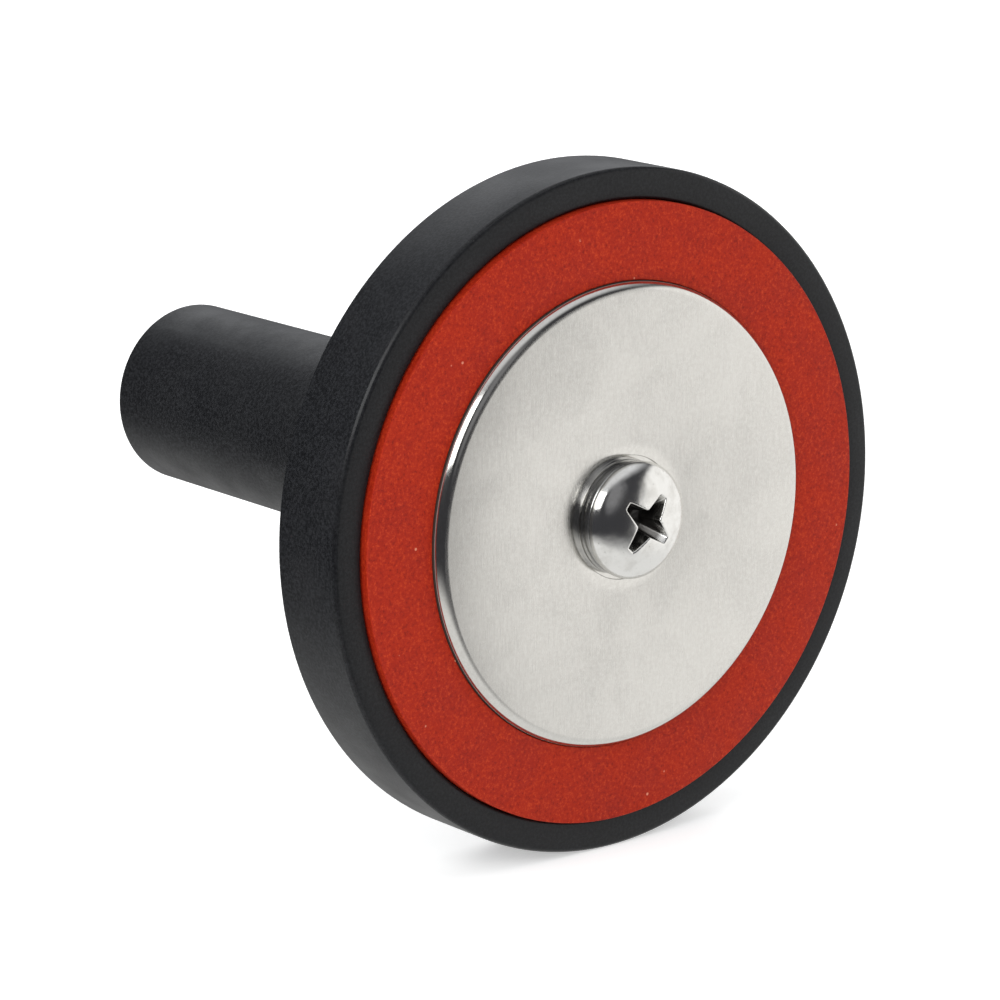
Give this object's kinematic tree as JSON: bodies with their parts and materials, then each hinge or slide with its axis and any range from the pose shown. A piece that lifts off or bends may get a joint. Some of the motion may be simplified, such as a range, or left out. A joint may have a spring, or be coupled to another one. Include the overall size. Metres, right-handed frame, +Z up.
{
  "type": "welding magnet holder",
  "caption": "Magnetic earth holder for welding: round pot magnet with a live face plate, a centre screw, a brass cable terminal and an insulating handle sleeve.",
  "frame": {"origin": "centre of the face plate's front face", "axes": "-Y out of the face plate towards the workpiece, +Y along the handle, +Z up"},
  "size_m": [0.07, 0.0795, 0.07],
  "materials": {
    "coated_steel": "satin black coating, fine grain",
    "ferrite": "ground ferrite",
    "black_moulding": "moulded, matt",
    "red_fibre": "vulcanised fibre, matt",
    "nickel_plate": "satin nickel plate",
    "zinc_steel": "bright zinc plate",
    "polished_steel": "polished",
    "brass": "turned",
    "black_steel": "black oxide",
    "handle_black": "satin, fine grain"
  },
  "bodies": {
    "magnet_head": {"magnet_cup": "coated_steel", "ring_magnet": "ferrite", "magnet_spacer": "black_moulding", "insulating_ring": "red_fibre", "contact_plate": "nickel_plate", "insulating_bush": "black_moulding", "insulating_washer": "red_fibre", "clamp_washer": "brass", "stem_nut": "brass", "terminal_stem": "brass"},
    "screw_travel": {"lock_washer": "zinc_steel"},
    "contact_screw": {"contact_screw": "polished_steel"},
    "clamp_screw_front": {"clamp_screw_front": "black_steel"},
    "clamp_screw_rear": {"clamp_screw_rear": "black_steel"},
    "handle_sleeve": {"handle_sleeve": "handle_black"}
  },
  "joints": [
    {"name": "contact_screw_travel", "type": "slide", "parent": "magnet_head", "child": "screw_travel", "axis": [0, -1, 0], "range_m": [0, 0.01]},
    {"name": "contact_screw_turn", "type": "hinge", "parent": "screw_travel", "child": "contact_screw", "pos_m": [0, 0, 0], "axis": [0, -1, 0], "range_deg": [0, 3600.1]},
    {"name": "clamp_screw_front_travel", "type": "slide", "parent": "magnet_head", "child": "clamp_screw_front", "axis": [0, 0, -1], "range_m": [0, 0.003]},
    {"name": "clamp_screw_rear_travel", "type": "slide", "parent": "magnet_head", "child": "clamp_screw_rear", "axis": [0, 0, -1], "range_m": [0, 0.003]},
    {"name": "handle_sleeve_slide", "type": "slide", "parent": "magnet_head", "child": "handle_sleeve", "axis": [0, 1, 0], "range_m": [0, 0.044]}
  ],
  "couplings": [
    {"joint": "contact_screw_turn", "follows": "contact_screw_travel", "rad_per_m": 6283.2}
  ]
}
